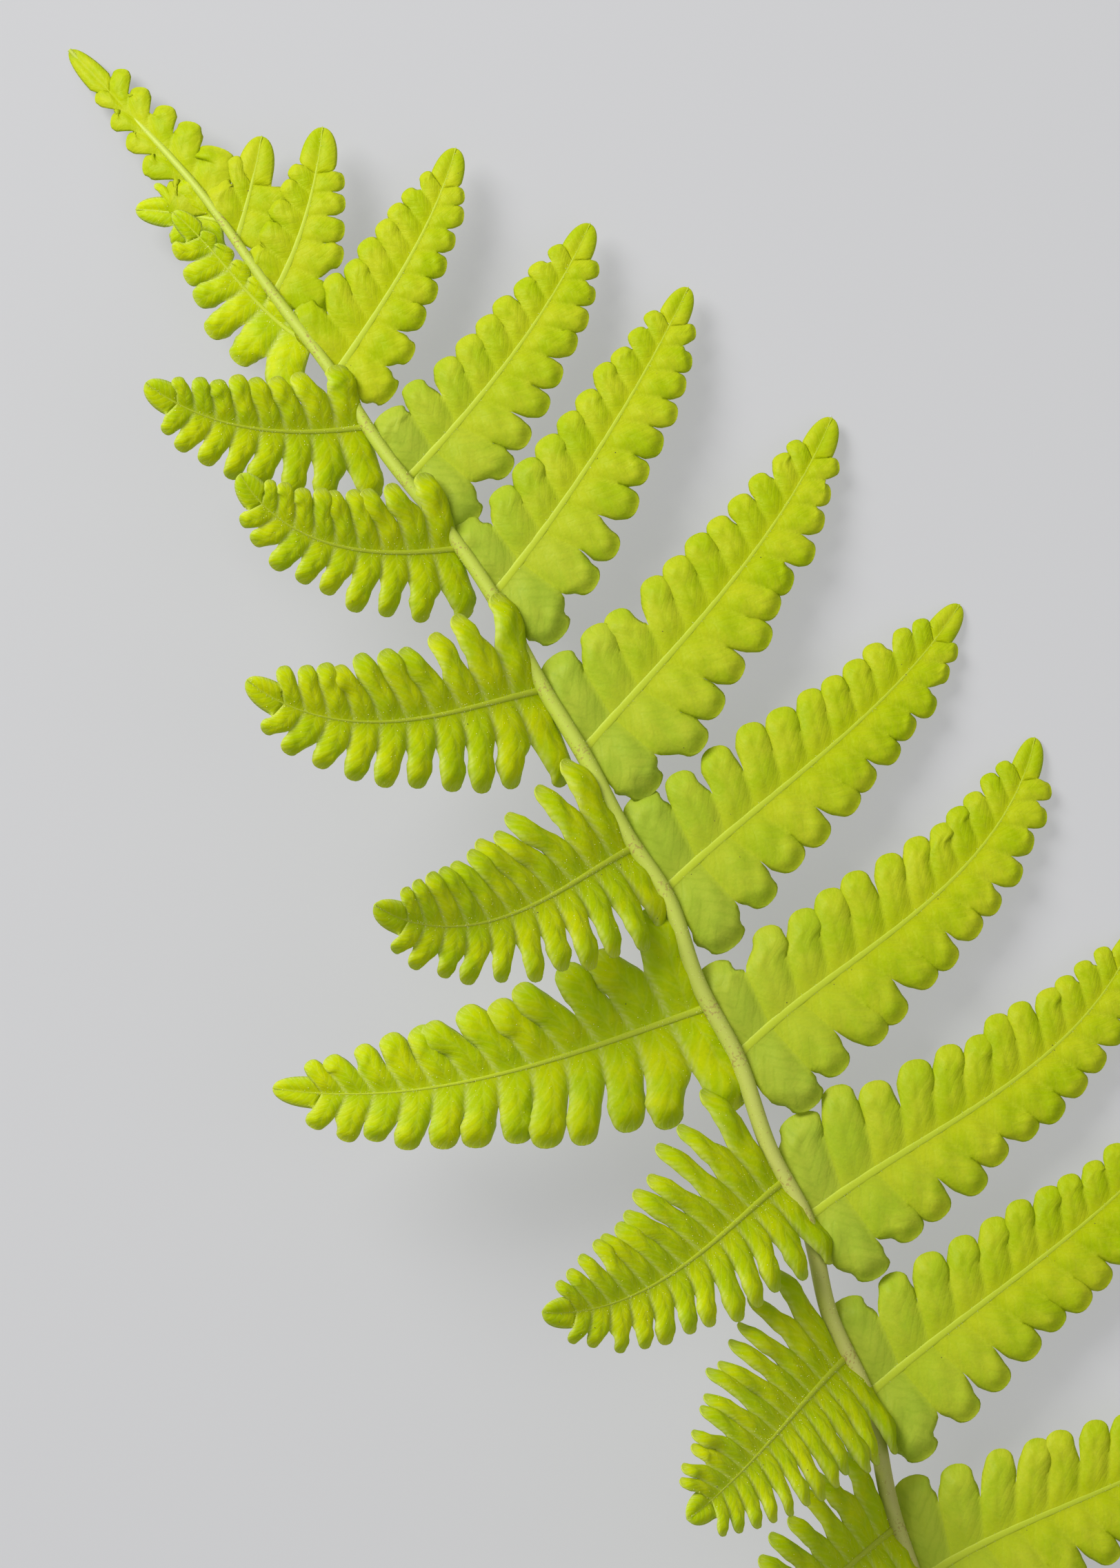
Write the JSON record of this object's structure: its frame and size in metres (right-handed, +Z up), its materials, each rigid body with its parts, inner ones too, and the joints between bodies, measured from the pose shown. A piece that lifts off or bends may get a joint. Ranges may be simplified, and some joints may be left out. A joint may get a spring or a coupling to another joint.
{
  "type": "fern frond",
  "caption": "Young fern frond laid down, with a grooved stem and twice-cut leafy side branches, its left side curling up and its right side lying open.",
  "frame": {"origin": "middle of the frond's footprint, on the surface it lies on", "axes": "+Y from the cut stem to the frond's tip, +X to the side whose pinnae lie open, +Z up from the surface"},
  "size_m": [0.1022, 0.345, 0.0469],
  "materials": {
    "leaf": "soft satin leaf"
  },
  "bodies": {
    "root": {"frond": "leaf"}
  },
  "joints": []
}
